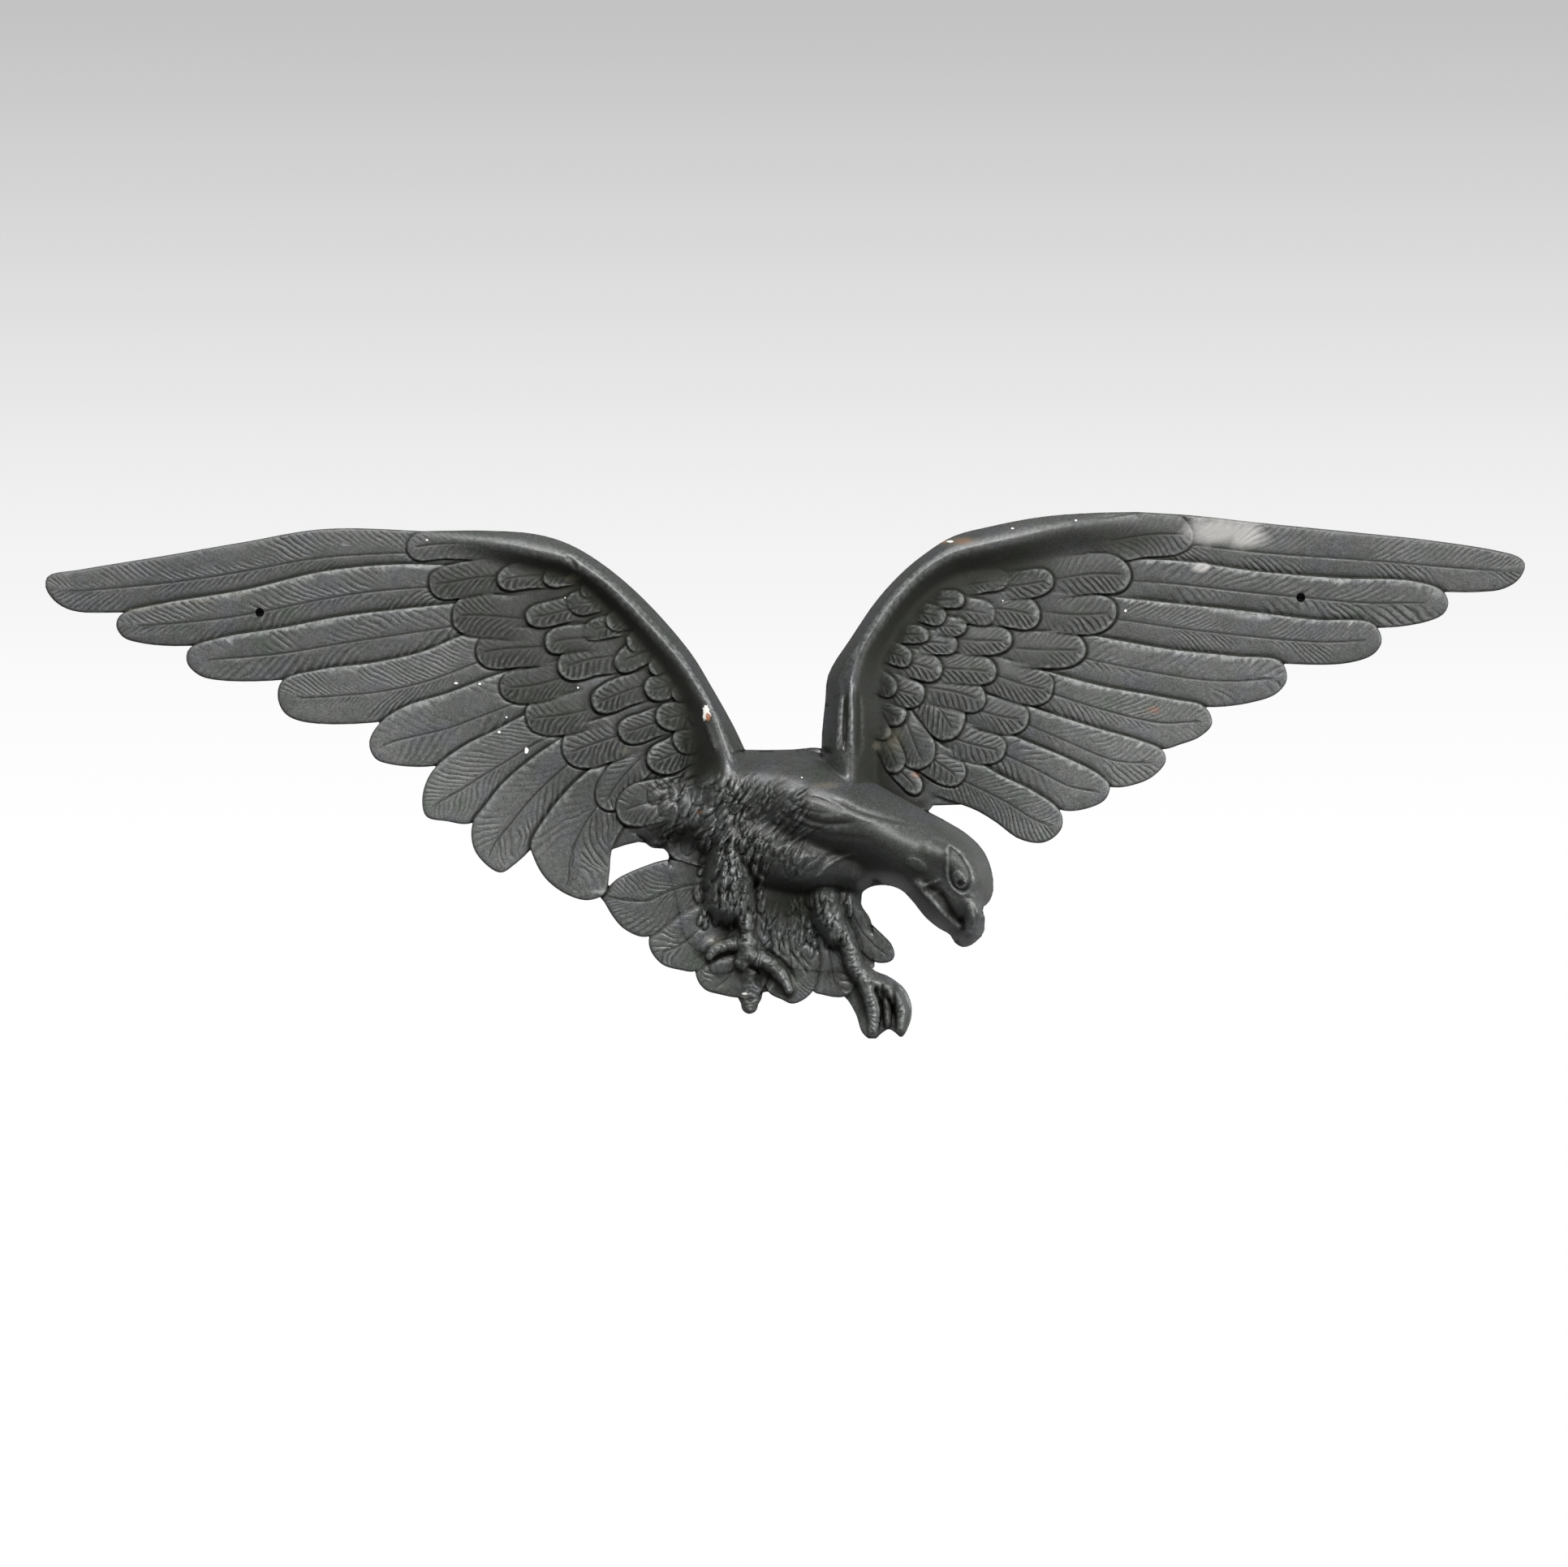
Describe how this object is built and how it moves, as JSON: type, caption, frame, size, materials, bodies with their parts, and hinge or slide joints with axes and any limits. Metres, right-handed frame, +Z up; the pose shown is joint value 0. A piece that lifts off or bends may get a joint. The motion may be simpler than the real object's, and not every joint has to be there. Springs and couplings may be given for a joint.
{
  "type": "eagle wall plaque",
  "caption": "Cast spread-eagle wall plaque with layered feathers, head turned right, talons out and a fanned tail, hollow behind, screwed to the wall through its wings.",
  "frame": {"origin": "on the wall plane, midway between the screw holes of the two wings", "axes": "+X to the viewer's right, +Y into the wall, +Z up; the eagle faces -Y"},
  "size_m": [0.7507, 0.0528, 0.2672],
  "materials": {
    "black_painted_metal": "black semi-gloss paint over cast metal, worn and chipped in places"
  },
  "bodies": {
    "root": {"eagle_casting": "black_painted_metal"}
  },
  "joints": []
}
